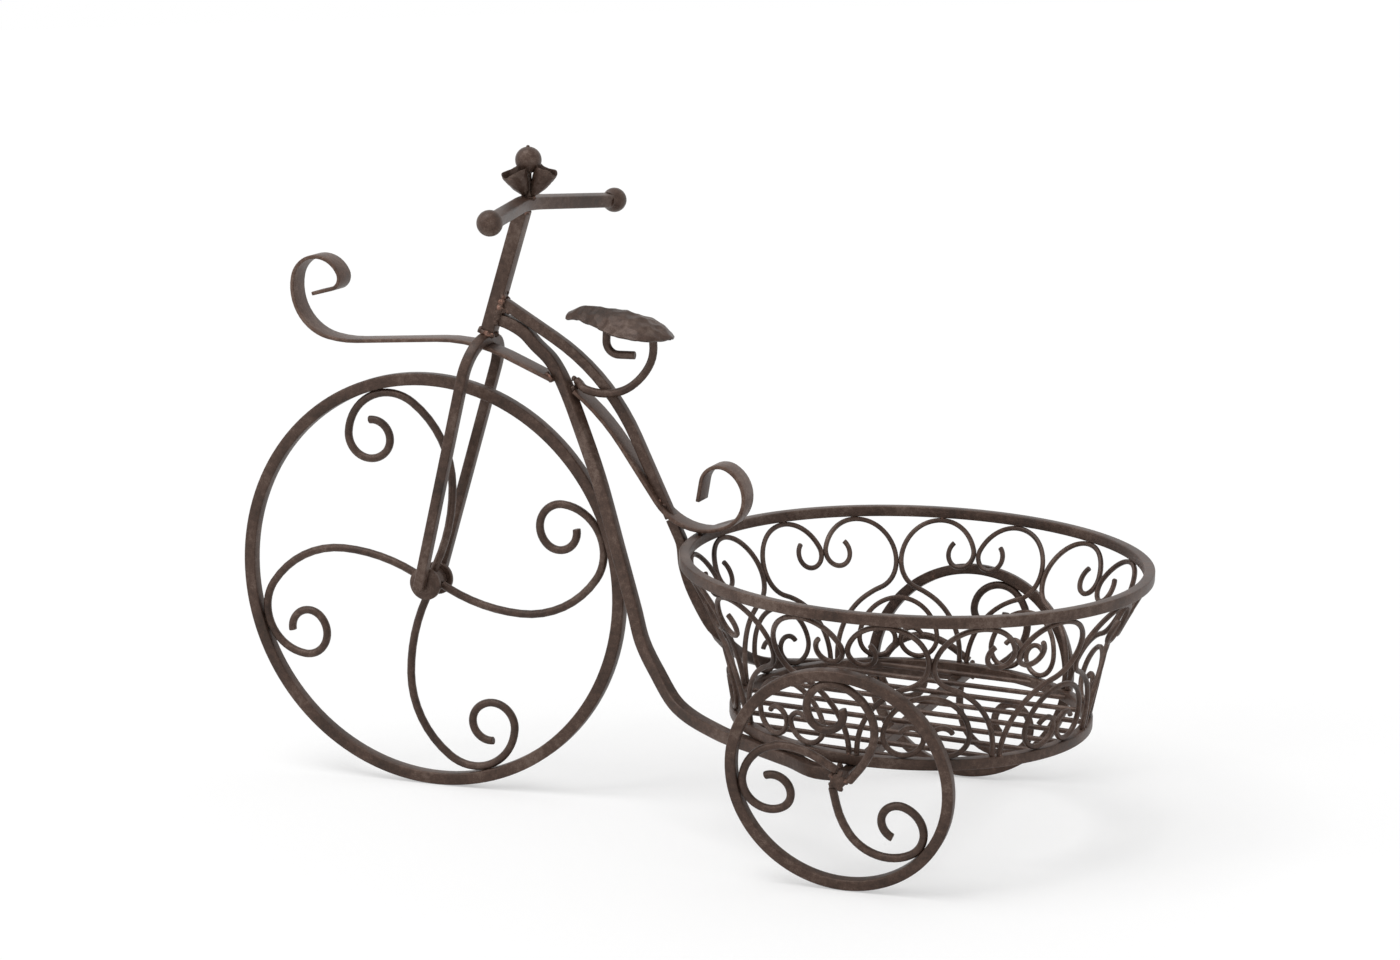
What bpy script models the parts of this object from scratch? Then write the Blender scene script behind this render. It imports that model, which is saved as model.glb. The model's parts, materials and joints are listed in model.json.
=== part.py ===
"""Wrought-iron tricycle planter.

A flared scroll basket for a flower pot sits between two small rear wheels. Bent bars run from it, round the
large front wheel, to the steering stem. Everything is welded together but the front wheel, which turns.
Lengths are in metres and angles in degrees. X runs from the front wheel to the basket, Z is up, and Y = 0 is
the mid plane. Pieces are placed from the front wheel's foot, and one empty carries them all to the middle.
"""

import math

import bmesh
import bpy
from mathutils import Matrix, Vector

# Fits and facets
GAP = 0.0003
FACET_SAG = 0.0007
MOST_FACET_TURN = 36
SHARP_ANGLE = 40
WIRE_ROUNDNESS = 1
RING_STEPS = 54
SMALL_STEPS = 16
BALL_STEPS = 14
SPAN_STEPS = 3
MERGE_DISTANCE = 0.00001

# Bar and wire stock
TREAD_BAR = 0.0095
LOWER_BAR = 0.0095
LIGHT_BAR = 0.008
STEM_BAR = 0.011
HANDLE_BAR = 0.01
SPOKE_WIRE = 0.00635
REAR_WIRE = 0.006
BASKET_WIRE = 0.004
STRIP_WIDTH = 0.019
STRIP_THICKNESS = 0.003

# Front wheel
FRONT_RADIUS = 0.16475
SPOKE_COUNT = 4
SPOKE_START_SHARE = (0.033, 0.092)
SPOKE_HEADING = 62.6
SPOKE_BEND_SHARES = ((0.942, 25.5), (0.5, 56), (0.234, 120.4), (0.121, 140.8), (0.097, 144.5))
HUB_RADIUS = 0.0095
HUB_LENGTH = 0.017
PIN_RADIUS = 0.004
HUB_DISC_RADIUS = 0.013
HUB_DISC_THICKNESS = 0.004

# Fork, stem and handlebar
RAKE = 16.5
CROWN_CLEARANCE = 0.0333
FORK_BEND_RADIUS = 0.026
FORK_SPREAD = 3.9
FORK_PAST_HUB = 0.004
FORK_LEAD = 0.0016
STEM_RAKE = 18.7
STEM_LENGTH = 0.1
HANDLE_HALF_WIDTH = 0.115
HANDLE_ROLL = 2.2
HANDLE_BEND_RADIUS = 0.09
HANDLE_SWEEP = 12.2
HANDLE_DROP = 14.4
HANDLE_SET_BACK = 0.0024
KNOB_RADIUS = 0.0096
KNOB_SOCKET = 0.004

# Finial
FINIAL_BALL_RADIUS = 0.0094
FINIAL_HEIGHT = 0.0274
FINIAL_NECK_RADIUS = 0.002
FINIAL_SET_BACK = 0.0016
FINIAL_NIB_HEIGHT = 0.0012
FINIAL_NIB_RADIUS = 0.0014
LEAF_FOOT_RADIUS = 0.0018
LEAF_THICKNESS = 0.0012
LEAF_WAIST_SHARE = 0.62
REAR_LEAF = {"lean": 38, "length": 0.0215, "mouth": 0.0072}
FRONT_LEAF = {"lean": -24, "length": 0.015, "mouth": 0.0066}

# Frame bars
LOWER_BAR_UP_STEM_SHARE = 0.135
UPPER_BAR_UP_STEM_SHARE = 0.266
LOWER_BAR_LEAD = 0.004
LOWER_BAR_TURN_SHARE = 0.3
LOWER_BAR_TWIST = 26
LOWER_BAR_TWIST_SHARES = (0.34, 0.41, 0.49, 0.59)
LOWER_BAR_SHARES = (
    (0.222, 2.215),
    (0.249, 2.153),
    (0.28, 2.083),
    (0.307, 1.98),
    (0.344, 1.82),
    (0.399, 1.547),
    (0.4415, 1.27),
    (0.4836, 0.995),
    (0.5028, 0.858),
    (0.537, 0.7435),
    (0.596, 0.6),
)
BAR_UNDER_BASE_SHARES = (0.7, 0.79, 0.88)
BAR_END_RUN = 0.012
BAR_END_SHARE = 0.9
UPPER_BAR_HEADING = -31.5
UPPER_BAR_BENDS = ((0.0486, 0), (0.1664, -34.3), (0.0669, 0))
BASKET_BAR_DROP = 0.0164
BASKET_BAR_LEAD = 0.013
BASKET_BAR_AWAY = (
    (180, 0.0394, 0.941),
    (180, 0.0319, 0.755),
    (180, 0.0125, 0.48),
    (157, 0.0155, 0.18),
    (132, 0.012, 0.07),
    (112, 0.008, 0.02),
)

# Strips and seat
FRONT_STRIP_HEIGHT_SHARE = 2.021
FRONT_STRIP_HEADING = 159.1
FRONT_STRIP_GAP = 0.0012
FRONT_STRIP_BENDS = (
    (0.0469, 0),
    (0.143, 22.9),
    (0.0581, 1.2),
    (0.1198, -20.8),
    (0.0318, -66.5),
    (0.0297, -130.1),
    (0.034, -17.1),
    (0.0057, -108.2),
    (0.0319, 0),
)
FRONT_STRIP_END_HEADING = 109
REAR_STRIP_HEIGHT_SHARE = 1.932
REAR_STRIP_HEADING = -37.4
REAR_STRIP_GAP = 0.0019
REAR_STRIP_BENDS = (
    (0.1671, -18.9),
    (0.0496, 0),
    (0.0455, 79.9),
    (0.0246, 126.6),
    (0.0145, 108.7),
    (0.0157, 0),
)
REAR_STRIP_END_HEADING = 189
SEAT_SCROLL_HEIGHT_SHARE = 1.9675
SEAT_SCROLL_HEADING = -34.1
SEAT_SCROLL_GAP = 0.002
SEAT_SCROLL_BENDS = (
    (0.0453, 48.7),
    (0.0358, 79.6),
    (0.0088, 0),
    (0.0065, 75),
    (0.024, 0),
    (0.0065, 97),
    (0.0128, 0),
    (0.0098, 94),
    (0.0132, 0),
)
SEAT_SCROLL_PASS = (0.001, 0.011, 0.05, 0.08)
SEAT_NOSE = (0.1243, 0.3806)
SEAT_LENGTH = 0.085
SEAT_THICKNESS = 0.002
SEAT_CELLS_ACROSS = 6
SEAT_ROUNDNESS = 1.8
SEAT_SHARES = (
    (0.0, 0.09, -0.003, 0.045),
    (0.05, 0.108, 0.036, 0.068),
    (0.15, 0.136, 0.066, 0.1),
    (0.35, 0.216, 0.064, 0.148),
    (0.55, 0.29, 0.048, 0.186),
    (0.75, 0.318, -0.005, 0.158),
    (0.89, 0.239, -0.0875, 0.093),
    (0.96, 0.125, -0.148, 0.045),
    (1.0, 0.034, -0.182, 0.006),
)

# Rear wheels and axle
WHEELBASE = 0.39
REAR_RADIUS = 0.084
REAR_HALF_TRACK = 0.1556
REAR_LEAN = 8.6
REAR_START_SHARE = (0.2215, 0.139)
REAR_HEADING = 49.9
REAR_BEND_SHARES = ((0.795, 22.3), (0.4635, 86.7), (0.271, 131.7), (0.179, 175.4))
NEAR_TURNS = (0, 98, 229)
FAR_TURNS = (-24, 96, 216)
STUB_RADIUS = 0.0055
STUB_INWARD = 0.008
STUB_OUTWARD = 0.0035

# Basket
BASKET_SET_BACK = 0.0019
BASKET_TILT = 2.6
RIM_RADIUS = 0.17
KINK_RADIUS = 0.14
KINK_DEPTH = 0.059
BASE_RADIUS = 0.13
BASE_DEPTH = 0.113
HEART_COUNT = 8
HEART_HEADING = -42.4
HEART_BEND_SHARES = ((0.098, -250.1), (0.302, -89.5), (0.246, -139.9), (0.543, 68.9), (0.664, 3.1))
ARCH_HALF_WIDTH = 0.0305
ARCH_DEPTH = 0.0625
ARCH_HEADING = 119.9
ARCH_BEND_SHARES = ((0.202, 174.6), (0.336, 162.2), (0.709, 83.3))
GRID_SPACING = 0.028

# Paint
IRON_COLOUR = (0.075, 0.047, 0.038)
IRON_ROUGHNESS = 0.5
IRON_METALLIC = 0.35

# Places that follow from the sizes above
HUB_HEIGHT = FRONT_RADIUS
LEG_OFFSET = HUB_LENGTH / 2 + GAP + HUB_DISC_THICKNESS + GAP + LIGHT_BAR / 2
CROWN_REACH = FRONT_RADIUS + CROWN_CLEARANCE + LIGHT_BAR / 2
REAR_CENTRE_HEIGHT = (
    REAR_RADIUS * math.cos(math.radians(REAR_LEAN)) + LIGHT_BAR / 2 * math.sin(math.radians(REAR_LEAN))
)
TILT_RISE = math.sin(math.radians(BASKET_TILT))
BASE_HEIGHT = REAR_CENTRE_HEIGHT + LIGHT_BAR + GAP + LIGHT_BAR * TILT_RISE
RIM_HEIGHT = BASE_HEIGHT + BASE_DEPTH * math.cos(math.radians(BASKET_TILT))
RIM_X = WHEELBASE + BASKET_SET_BACK + BASE_DEPTH * TILT_RISE
REAR_END = RIM_X + (RIM_RADIUS + LIGHT_BAR / 2) * math.cos(math.radians(BASKET_TILT)) + LIGHT_BAR / 2 * TILT_RISE
MIDDLE_X = (REAR_END - FRONT_RADIUS) / 2


def direction(heading):
    return Vector((math.cos(math.radians(heading)), math.sin(math.radians(heading))))


def bent(start, heading, bends):
    """A flat path of bends, each a radius and a turn in degrees, left positive, or a length and no turn."""
    points = [Vector(start)]
    for size, turn in bends:
        if turn == 0:
            points.append(points[-1] + direction(heading) * size)
            continue
        sag_turn = 2 * math.degrees(math.acos(max(0, 1 - FACET_SAG / size)))
        steps = math.ceil(abs(turn) / min(sag_turn, MOST_FACET_TURN))
        chord = 2 * size * math.sin(math.radians(abs(turn) / steps / 2))
        for _ in range(steps):
            points.append(points[-1] + direction(heading + turn / steps / 2) * chord)
            heading += turn / steps
    return points


def scaled(bends, size):
    return tuple((share * size, turn) for share, turn in bends)


def smooth(stations):
    """Points on a curve through the stations. It starts and ends with a straight run between two of them."""
    stations = [Vector(station) for station in stations]
    last = len(stations) - 1
    slopes = [None] * (last + 1)
    slopes[1] = (stations[1] - stations[0]).normalized()
    slopes[last - 1] = (stations[last] - stations[last - 1]).normalized()
    for index in range(2, last - 1):
        before, here, after = stations[index - 1 : index + 2]
        slopes[index] = (after - before) / ((after - here).length + (here - before).length)
    points = stations[:2]
    for index in range(1, last - 1):
        start, end = stations[index], stations[index + 1]
        run = (end - start).length
        for step in range(1, SPAN_STEPS + 1):
            t = step / SPAN_STEPS
            points.append(
                start * (2 * t**3 - 3 * t**2 + 1)
                + slopes[index] * (run * (t**3 - 2 * t**2 + t))
                + end * (3 * t**2 - 2 * t**3)
                + slopes[index + 1] * (run * (t**3 - t**2))
            )
    return points + stations[last:]


def empty(name, parent, location, rotation=(0, 0, 0)):
    obj = bpy.data.objects.new(name, None)
    parts.objects.link(obj)
    obj.parent = parent
    obj.location = location
    obj.rotation_euler = [math.radians(angle) for angle in rotation]
    return obj


def finish(obj, parent, location=(0, 0, 0), rotation=(0, 0, 0), collection=None):
    (collection or parts).objects.link(obj)
    obj.parent = parent
    obj.location = location
    obj.rotation_euler = [math.radians(angle) for angle in rotation]
    if collection:
        obj.hide_render = True
        obj.display_type = "WIRE"
        return obj
    paint = bpy.data.materials.new(obj.name + "_paint")
    paint.use_nodes = True
    shader = paint.node_tree.nodes["Principled BSDF"]
    shader.inputs["Base Color"].default_value = (*IRON_COLOUR, 1)
    shader.inputs["Roughness"].default_value = IRON_ROUGHNESS
    shader.inputs["Metallic"].default_value = IRON_METALLIC
    obj.data.materials.append(paint)
    return obj


def poly_curve(name, points, closed=False):
    curve = bpy.data.curves.new(name, "CURVE")
    curve.dimensions = "3D"
    curve.twist_mode = "MINIMUM"
    spline = curve.splines.new("POLY")
    spline.points.add(len(points) - 1)
    for point, place in zip(spline.points, points):
        point.co = (*Vector(place).to_3d(), 1)
    spline.use_cyclic_u = closed
    return curve


def wire(name, points, diameter, parent, **place):
    """A round wire along the points."""
    curve = poly_curve(name, points)
    curve.bevel_depth = diameter / 2
    curve.bevel_resolution = WIRE_ROUNDNESS
    curve.use_fill_caps = True
    return finish(bpy.data.objects.new(name, curve), parent, **place)


def section(width, height):
    """A rectangular section that bars of this size are swept with."""
    name = f"section_{width * 10000:.0f}_{height * 10000:.0f}"
    if name not in bpy.data.objects:
        corners = [(x * width / 2, y * height / 2) for x, y in ((-1, 1), (1, 1), (1, -1), (-1, -1))]
        curve = poly_curve(name, corners, closed=True)
        curve.dimensions = "2D"
        finish(bpy.data.objects.new(name, curve), None, collection=guides)
    return bpy.data.objects[name]


def bar(name, points, width, height, parent, twists=None, **place):
    """A bar bent along the points, which may twist. Its width lies level where the path does."""
    curve = poly_curve(name, points)
    curve.twist_mode = "Z_UP"
    for point, twist in zip(curve.splines[0].points, twists or [0] * len(points)):
        point.tilt = math.radians(twist)
    curve.bevel_mode = "OBJECT"
    curve.bevel_object = section(width, height)
    curve.use_fill_caps = True
    curve.splines[0].use_smooth = False
    return finish(bpy.data.objects.new(name, curve), parent, **place)


def outline(name, corners, width, parent, **place):
    """A flat outline as thick as width, centred on its plane."""
    curve = poly_curve(name, corners, closed=True)
    curve.dimensions = "2D"
    curve.fill_mode = "BOTH"
    curve.extrude = width / 2
    curve.splines[0].use_smooth = False
    return finish(bpy.data.objects.new(name, curve), parent, **place)


def mitred(points, width, start_heading, end_heading):
    """Corners of a bent bar whose ends are cut along these headings, through its first and last points."""
    sides = ([], [])
    last = len(points) - 1
    for index, point in enumerate(points):
        along = (points[min(index + 1, last)] - points[max(index - 1, 0)]).normalized()
        across = Vector((-along.y, along.x))
        if index == 0:
            cut = direction(start_heading)
        elif index == last:
            cut = direction(end_heading)
        else:
            cut = across
        reach = cut * (width / 2 / cut.dot(across))
        sides[0].append(point + reach)
        sides[1].append(point - reach)
    return sides[0] + sides[1][::-1]


def mesh_object(name, build, parent, **place):
    """An object whose mesh the given function builds, smooth but for its sharp edges."""
    mesh = bpy.data.meshes.new(name)
    bm = bmesh.new()
    build(bm)
    bm.to_mesh(mesh)
    bm.free()
    mesh.shade_smooth()
    mesh.set_sharp_from_angle(angle=math.radians(SHARP_ANGLE))
    return finish(bpy.data.objects.new(name, mesh), parent, **place)


def turned(name, profile, steps, parent, closed=False, **place):
    """A profile of radius and height, down its outer side, turned about the object's Z axis."""
    mesh = bpy.data.meshes.new(name)
    edges = [(i, i + 1) for i in range(len(profile) - 1)]
    if closed:
        edges.append((len(profile) - 1, 0))
    mesh.from_pydata([(radius, 0, height) for radius, height in profile], edges, [])
    obj = finish(bpy.data.objects.new(name, mesh), parent, **place)
    screw = obj.modifiers.new("Turn", "SCREW")
    screw.steps = screw.render_steps = steps
    screw.use_merge_vertices = True
    screw.merge_threshold = MERGE_DISTANCE
    screw.use_smooth_shade = False
    return obj


def ring(name, radius, size, parent, **place):
    """A square bar rolled into a ring, whose middle line has this radius."""
    half = size / 2
    profile = [
        (radius + half, half),
        (radius + half, -half),
        (radius - half, -half),
        (radius - half, half),
    ]
    return turned(name, profile, RING_STEPS, parent, closed=True, **place)


def ring_inside(radius, size):
    """The radius that is free inside a ring, at the middle of its flats."""
    return (radius - size / 2) * math.cos(math.pi / RING_STEPS)


def box(name, size, place, collection, parent):
    def build(bm):
        bmesh.ops.create_cube(bm, size=1, matrix=Matrix.Diagonal((*size, 1)))

    return mesh_object(name, build, parent, location=place, collection=collection)


def seat_on_hub(points, hub_radius, diameter):
    """The path with its first point moved along the wire, so that its end just clears the hub."""
    first, second = points[:2]
    along = (second - first).normalized()
    miss = abs(first.x * along.y - first.y * along.x)
    near_side = max(0, miss - diameter / 2)
    stand_off = math.sqrt((hub_radius + GAP) ** 2 - near_side**2)
    return [first + along * (stand_off - first.dot(along))] + points[1:]


def wheel_scroll(start_share, heading, bend_shares, reach, hub_radius, diameter):
    """A scroll from a hub out to this reach, where it meets the ring."""
    start = Vector(start_share) * reach
    points = bent(start, heading, scaled(bend_shares, reach))
    farthest = max(point.length for point in points)
    points = [point * (reach / farthest) for point in points]
    return seat_on_hub(points, hub_radius, diameter)


def make_front_wheel():
    hub = empty("front_wheel", planter, (0, 0, HUB_HEIGHT))
    upright = {"rotation": (90, 0, 0)}
    middle = FRONT_RADIUS - TREAD_BAR / 2
    ring("front_wheel_ring", middle, TREAD_BAR, hub, **upright)
    reach = ring_inside(middle, TREAD_BAR) - GAP - SPOKE_WIRE / 2
    points = wheel_scroll(SPOKE_START_SHARE, SPOKE_HEADING, SPOKE_BEND_SHARES, reach, HUB_RADIUS, SPOKE_WIRE)
    for number in range(SPOKE_COUNT):
        turn = number * 360 / SPOKE_COUNT
        wire(f"front_spoke_{number + 1}", points, SPOKE_WIRE, hub, rotation=(90, turn, 0))
    half = HUB_LENGTH / 2
    bore = PIN_RADIUS + GAP
    barrel = [(HUB_RADIUS, half), (HUB_RADIUS, -half), (bore, -half), (bore, half)]
    turned("front_hub_barrel", barrel, SMALL_STEPS, hub, closed=True, **upright)


def make_front_axle():
    """The pin that the hub turns on, with a disc at each end that the fork is welded to."""
    inner = HUB_LENGTH / 2 + GAP
    outer = inner + HUB_DISC_THICKNESS
    profile = [
        (0, outer),
        (HUB_DISC_RADIUS, outer),
        (HUB_DISC_RADIUS, inner),
        (PIN_RADIUS, inner),
        (PIN_RADIUS, -inner),
        (HUB_DISC_RADIUS, -inner),
        (HUB_DISC_RADIUS, -outer),
        (0, -outer),
    ]
    turned("front_axle", profile, SMALL_STEPS, planter, location=(0, 0, HUB_HEIGHT), rotation=(90, 0, 0))


def make_fork():
    """The bar that straddles the wheel, from disc to disc over a round crown."""
    spread = math.radians(FORK_SPREAD)
    rise = CROWN_REACH + FORK_PAST_HUB - FORK_BEND_RADIUS * (1 + math.sin(spread))
    leg = rise / math.cos(spread)
    flat = 2 * (LEG_OFFSET + leg * math.sin(spread) - FORK_BEND_RADIUS * math.cos(spread))
    corner = (FORK_BEND_RADIUS, -90 - FORK_SPREAD)
    bends = ((leg, 0), corner, (flat, 0), corner, (leg, 0))
    points = bent((-LEG_OFFSET, -FORK_PAST_HUB), 90 + FORK_SPREAD, bends)
    pivot = empty("fork_line", planter, (-FORK_LEAD, 0, HUB_HEIGHT), (0, RAKE, 0))
    bar("fork", points, LIGHT_BAR, LIGHT_BAR, pivot, rotation=(90, 0, 90))


def stem_foot():
    reach = CROWN_REACH + LIGHT_BAR / 2 + GAP
    reach += STEM_BAR / 2 * math.tan(math.radians(abs(STEM_RAKE - RAKE)))
    return direction(90 - RAKE) * reach + Vector((-FORK_LEAD, HUB_HEIGHT))


def stem_point(share):
    """A point on the stem's rear face, this share of the way up, with the gap that a bar welded there keeps."""
    up = direction(90 - STEM_RAKE)
    back = direction(-STEM_RAKE)
    return stem_foot() + up * (STEM_LENGTH * share) + back * (STEM_BAR / 2 + GAP)


def handle_centre():
    slope = math.radians(abs(STEM_RAKE - HANDLE_DROP))
    rise = STEM_LENGTH + GAP + HANDLE_BAR / 2 / math.cos(slope) + STEM_BAR / 2 * math.tan(slope)
    rise += STEM_BAR / 2 * math.tan(math.radians(HANDLE_ROLL))
    return stem_foot() + direction(90 - STEM_RAKE) * rise + direction(-HANDLE_DROP) * HANDLE_SET_BACK


def make_stem():
    foot = stem_foot()
    middle = foot + direction(90 - STEM_RAKE) * (STEM_LENGTH / 2)
    pivot = empty("stem_line", planter, (middle.x, 0, middle.y), (0, STEM_RAKE, 0))
    box("stem", (STEM_BAR, STEM_BAR, STEM_LENGTH), (0, 0, 0), None, pivot)


def make_handlebar():
    centre = handle_centre()
    pivot = empty("handlebar_line", planter, (centre.x, 0, centre.y), (-HANDLE_ROLL, HANDLE_DROP, 0))
    arc_half = HANDLE_BEND_RADIUS * math.sin(math.radians(HANDLE_SWEEP))
    run = (HANDLE_HALF_WIDTH - arc_half) / math.cos(math.radians(HANDLE_SWEEP))
    socket_end = run - KNOB_RADIUS + KNOB_SOCKET
    half = bent((0, 0), 0, ((HANDLE_BEND_RADIUS, HANDLE_SWEEP), (socket_end, 0)))
    other = [Vector((-point.x, point.y)) for point in half[:0:-1]]
    bar("handlebar", other + half, HANDLE_BAR, HANDLE_BAR, pivot, rotation=(0, 0, -90))
    end = bent((0, 0), 0, ((HANDLE_BEND_RADIUS, HANDLE_SWEEP), (run, 0)))[-1]
    for name, side in (("near_knob", -1), ("far_knob", 1)):
        grip = empty(name + "_line", pivot, (end.y, side * end.x, 0), (0, 0, -side * HANDLE_SWEEP))

        def build(bm):
            bmesh.ops.create_uvsphere(bm, u_segments=BALL_STEPS, v_segments=BALL_STEPS // 2, radius=KNOB_RADIUS)

        knob = mesh_object(name, build, grip)
        hole = HANDLE_BAR + 2 * GAP
        depth = KNOB_SOCKET + GAP
        place = (0, -side * (2 * KNOB_RADIUS - depth), 0)
        cutter = box(name + "_socket", (hole, 2 * KNOB_RADIUS, hole), place, guides, grip)
        cut = knob.modifiers.new("Socket", "BOOLEAN")
        cut.operation = "DIFFERENCE"
        cut.object = cutter


def make_finial():
    centre = handle_centre()
    slope = math.radians(HANDLE_DROP)
    lift = HANDLE_BAR / 2 + GAP + LEAF_FOOT_RADIUS * math.tan(math.radians(HANDLE_ROLL))

    def bar_top(x):
        return centre.y + (lift - (x - centre.x) * math.sin(slope)) / math.cos(slope)

    neck_x = centre.x + FINIAL_SET_BACK
    foot = bar_top(neck_x - FINIAL_NECK_RADIUS)
    top = FINIAL_HEIGHT + FINIAL_BALL_RADIUS + FINIAL_NIB_HEIGHT
    profile = [(0, top), (FINIAL_NIB_RADIUS, top - FINIAL_NIB_HEIGHT / 2)]
    nib_angle = math.degrees(math.asin(FINIAL_NIB_RADIUS / FINIAL_BALL_RADIUS))
    neck_angle = 180 - math.degrees(math.asin(FINIAL_NECK_RADIUS / FINIAL_BALL_RADIUS))
    steps = BALL_STEPS // 2
    for step in range(steps + 1):
        angle = math.radians(nib_angle + (neck_angle - nib_angle) * step / steps)
        radius = FINIAL_BALL_RADIUS * math.sin(angle)
        profile.append((radius, FINIAL_HEIGHT + FINIAL_BALL_RADIUS * math.cos(angle)))
    profile += [(FINIAL_NECK_RADIUS, 0), (0, 0)]
    turned("finial_ball", profile, BALL_STEPS, planter, location=(neck_x, 0, foot))
    for name, leaf in (("finial_leaf_rear", REAR_LEAF), ("finial_leaf_front", FRONT_LEAF)):
        lean = math.radians(leaf["lean"])
        side = math.copysign(1, lean)
        inner_x = neck_x + side * (FINIAL_NECK_RADIUS + GAP)
        foot_x = inner_x + side * LEAF_FOOT_RADIUS * math.cos(lean)
        low_x = min(foot_x + side * LEAF_FOOT_RADIUS * math.cos(lean), centre.x + HANDLE_BAR / 2)
        foot_z = bar_top(low_x) + abs(low_x - foot_x) * abs(math.tan(lean))
        length, mouth = leaf["length"], leaf["mouth"]
        waist = LEAF_FOOT_RADIUS + (mouth - LEAF_FOOT_RADIUS) * LEAF_WAIST_SHARE
        profile = [
            (0, LEAF_THICKNESS),
            (waist - LEAF_THICKNESS, length / 2),
            (mouth - LEAF_THICKNESS, length),
            (mouth, length),
            (waist, length / 2),
            (LEAF_FOOT_RADIUS, 0),
            (0, 0),
        ]
        turned(name, profile, BALL_STEPS, planter, location=(foot_x, 0, foot_z), rotation=(0, leaf["lean"], 0))


def under_base(x, bar_size):
    """The height at which a bar of this size lies under the tilted base ring."""
    ring_height = BASE_HEIGHT + (WHEELBASE + BASKET_SET_BACK - x) * TILT_RISE
    return ring_height - LIGHT_BAR / 2 - bar_size / 2 - 2 * GAP


def lower_bar_points():
    """From the stem, past the front wheel and under the base ring to the near end of the axle."""
    start = stem_point(LOWER_BAR_UP_STEM_SHARE)
    lead = start + direction(-STEM_RAKE) * LOWER_BAR_LEAD
    end = Vector((WHEELBASE - LIGHT_BAR / 2 - GAP, -BAR_END_SHARE * REAR_HALF_TRACK, REAR_CENTRE_HEIGHT))
    turn_x = LOWER_BAR_TURN_SHARE * WHEELBASE
    slope = end.y / (end.x - BAR_END_RUN - turn_x)
    spots = [(x_share * WHEELBASE, z_share * HUB_HEIGHT) for x_share, z_share in LOWER_BAR_SHARES]
    spots += [(share * WHEELBASE, under_base(share * WHEELBASE, LOWER_BAR)) for share in BAR_UNDER_BASE_SHARES]
    stations = [(start.x, 0, start.y), (lead.x, 0, lead.y)]
    stations += [(x, slope * max(0, x - turn_x), z) for x, z in spots]
    return smooth(stations + [end - Vector((BAR_END_RUN, 0, 0)), end])


def beside_lower_bar(height, side, heading, thickness, gap):
    """A start on the lower bar's front or rear face for a bar of this heading, and the face's heading."""
    for before, after in zip(lower_path, lower_path[1:]):
        if after.z <= height <= before.z:
            break
    along = Vector((after.x - before.x, after.z - before.z)).normalized()
    across = Vector((-along.y, along.x)) * side
    spot = Vector((before.x, before.z)) + along * ((height - before.z) / along.y)
    turn = math.radians(heading) - math.atan2(across.y, across.x)
    clearance = LOWER_BAR / 2 + gap + thickness / 2 * abs(math.sin(turn))
    return spot + across * clearance, math.degrees(math.atan2(along.y, along.x))


def make_lower_bar():
    start, full, until, end = (share * WHEELBASE for share in LOWER_BAR_TWIST_SHARES)
    twists = []
    for point in lower_path:
        share = min((point.x - start) / (full - start), (end - point.x) / (end - until), 1)
        twists.append(-LOWER_BAR_TWIST * max(share, 0))
    bar("lower_bar", lower_path, LOWER_BAR, LOWER_BAR, planter, twists=twists)


def meeting(start, along, path):
    """The point at which a straight line first crosses a path."""
    across = Vector((-along.y, along.x))
    runs = []
    for before, after in zip(path, path[1:]):
        low, high = (before - start).dot(across), (after - start).dot(across)
        if low * high <= 0 and low != high:
            spot = before + (after - before) * (low / (low - high))
            runs.append((spot - start).dot(along))
    return start + along * min(run for run in runs if run > 0)


def beside(path, distance):
    """The path moved this far to its left."""
    last = len(path) - 1
    moved = []
    for index, point in enumerate(path):
        along = (path[min(index + 1, last)] - path[max(index - 1, 0)]).normalized()
        moved.append(point + Vector((-along.y, along.x)) * distance)
    return moved


def rear_strip_points():
    height = REAR_STRIP_HEIGHT_SHARE * HUB_HEIGHT
    start, face = beside_lower_bar(height, 1, REAR_STRIP_HEADING, 0, REAR_STRIP_GAP)
    return bent(start, REAR_STRIP_HEADING, REAR_STRIP_BENDS), face


def make_strips():
    """The flat strips with scrolled ends, one over the front wheel and one over the basket's rim."""
    points, face = rear_strip_points()
    corners = mitred(points, STRIP_THICKNESS, face, REAR_STRIP_END_HEADING)
    outline("rear_strip", corners, STRIP_WIDTH, planter, rotation=(90, 0, 0))
    height = FRONT_STRIP_HEIGHT_SHARE * HUB_HEIGHT
    start, face = beside_lower_bar(height, -1, FRONT_STRIP_HEADING, 0, FRONT_STRIP_GAP)
    points = bent(start, FRONT_STRIP_HEADING, FRONT_STRIP_BENDS)
    corners = mitred(points, STRIP_THICKNESS, face, FRONT_STRIP_END_HEADING)
    outline("front_strip", corners, STRIP_WIDTH, planter, rotation=(90, 0, 0))


def make_upper_bar():
    """The bar from the stem down to the rear strip, cut to both. It returns its end and its direction there."""
    points = bent(stem_point(UPPER_BAR_UP_STEM_SHARE), UPPER_BAR_HEADING, UPPER_BAR_BENDS)
    corners = mitred(points, LIGHT_BAR, 90 - STEM_RAKE, UPPER_BAR_HEADING)
    along = (points[-1] - points[-2]).normalized()
    top_face = beside(rear_strip_points()[0], STRIP_THICKNESS / 2 + GAP)
    half = len(corners) // 2
    for end, before in ((half - 1, half - 2), (half, half + 1)):
        corners[end] = meeting(corners[before], along, top_face)
    outline("upper_bar", corners, LIGHT_BAR, planter, rotation=(90, 0, 0))
    return meeting(points[-2], along, top_face), along


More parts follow.
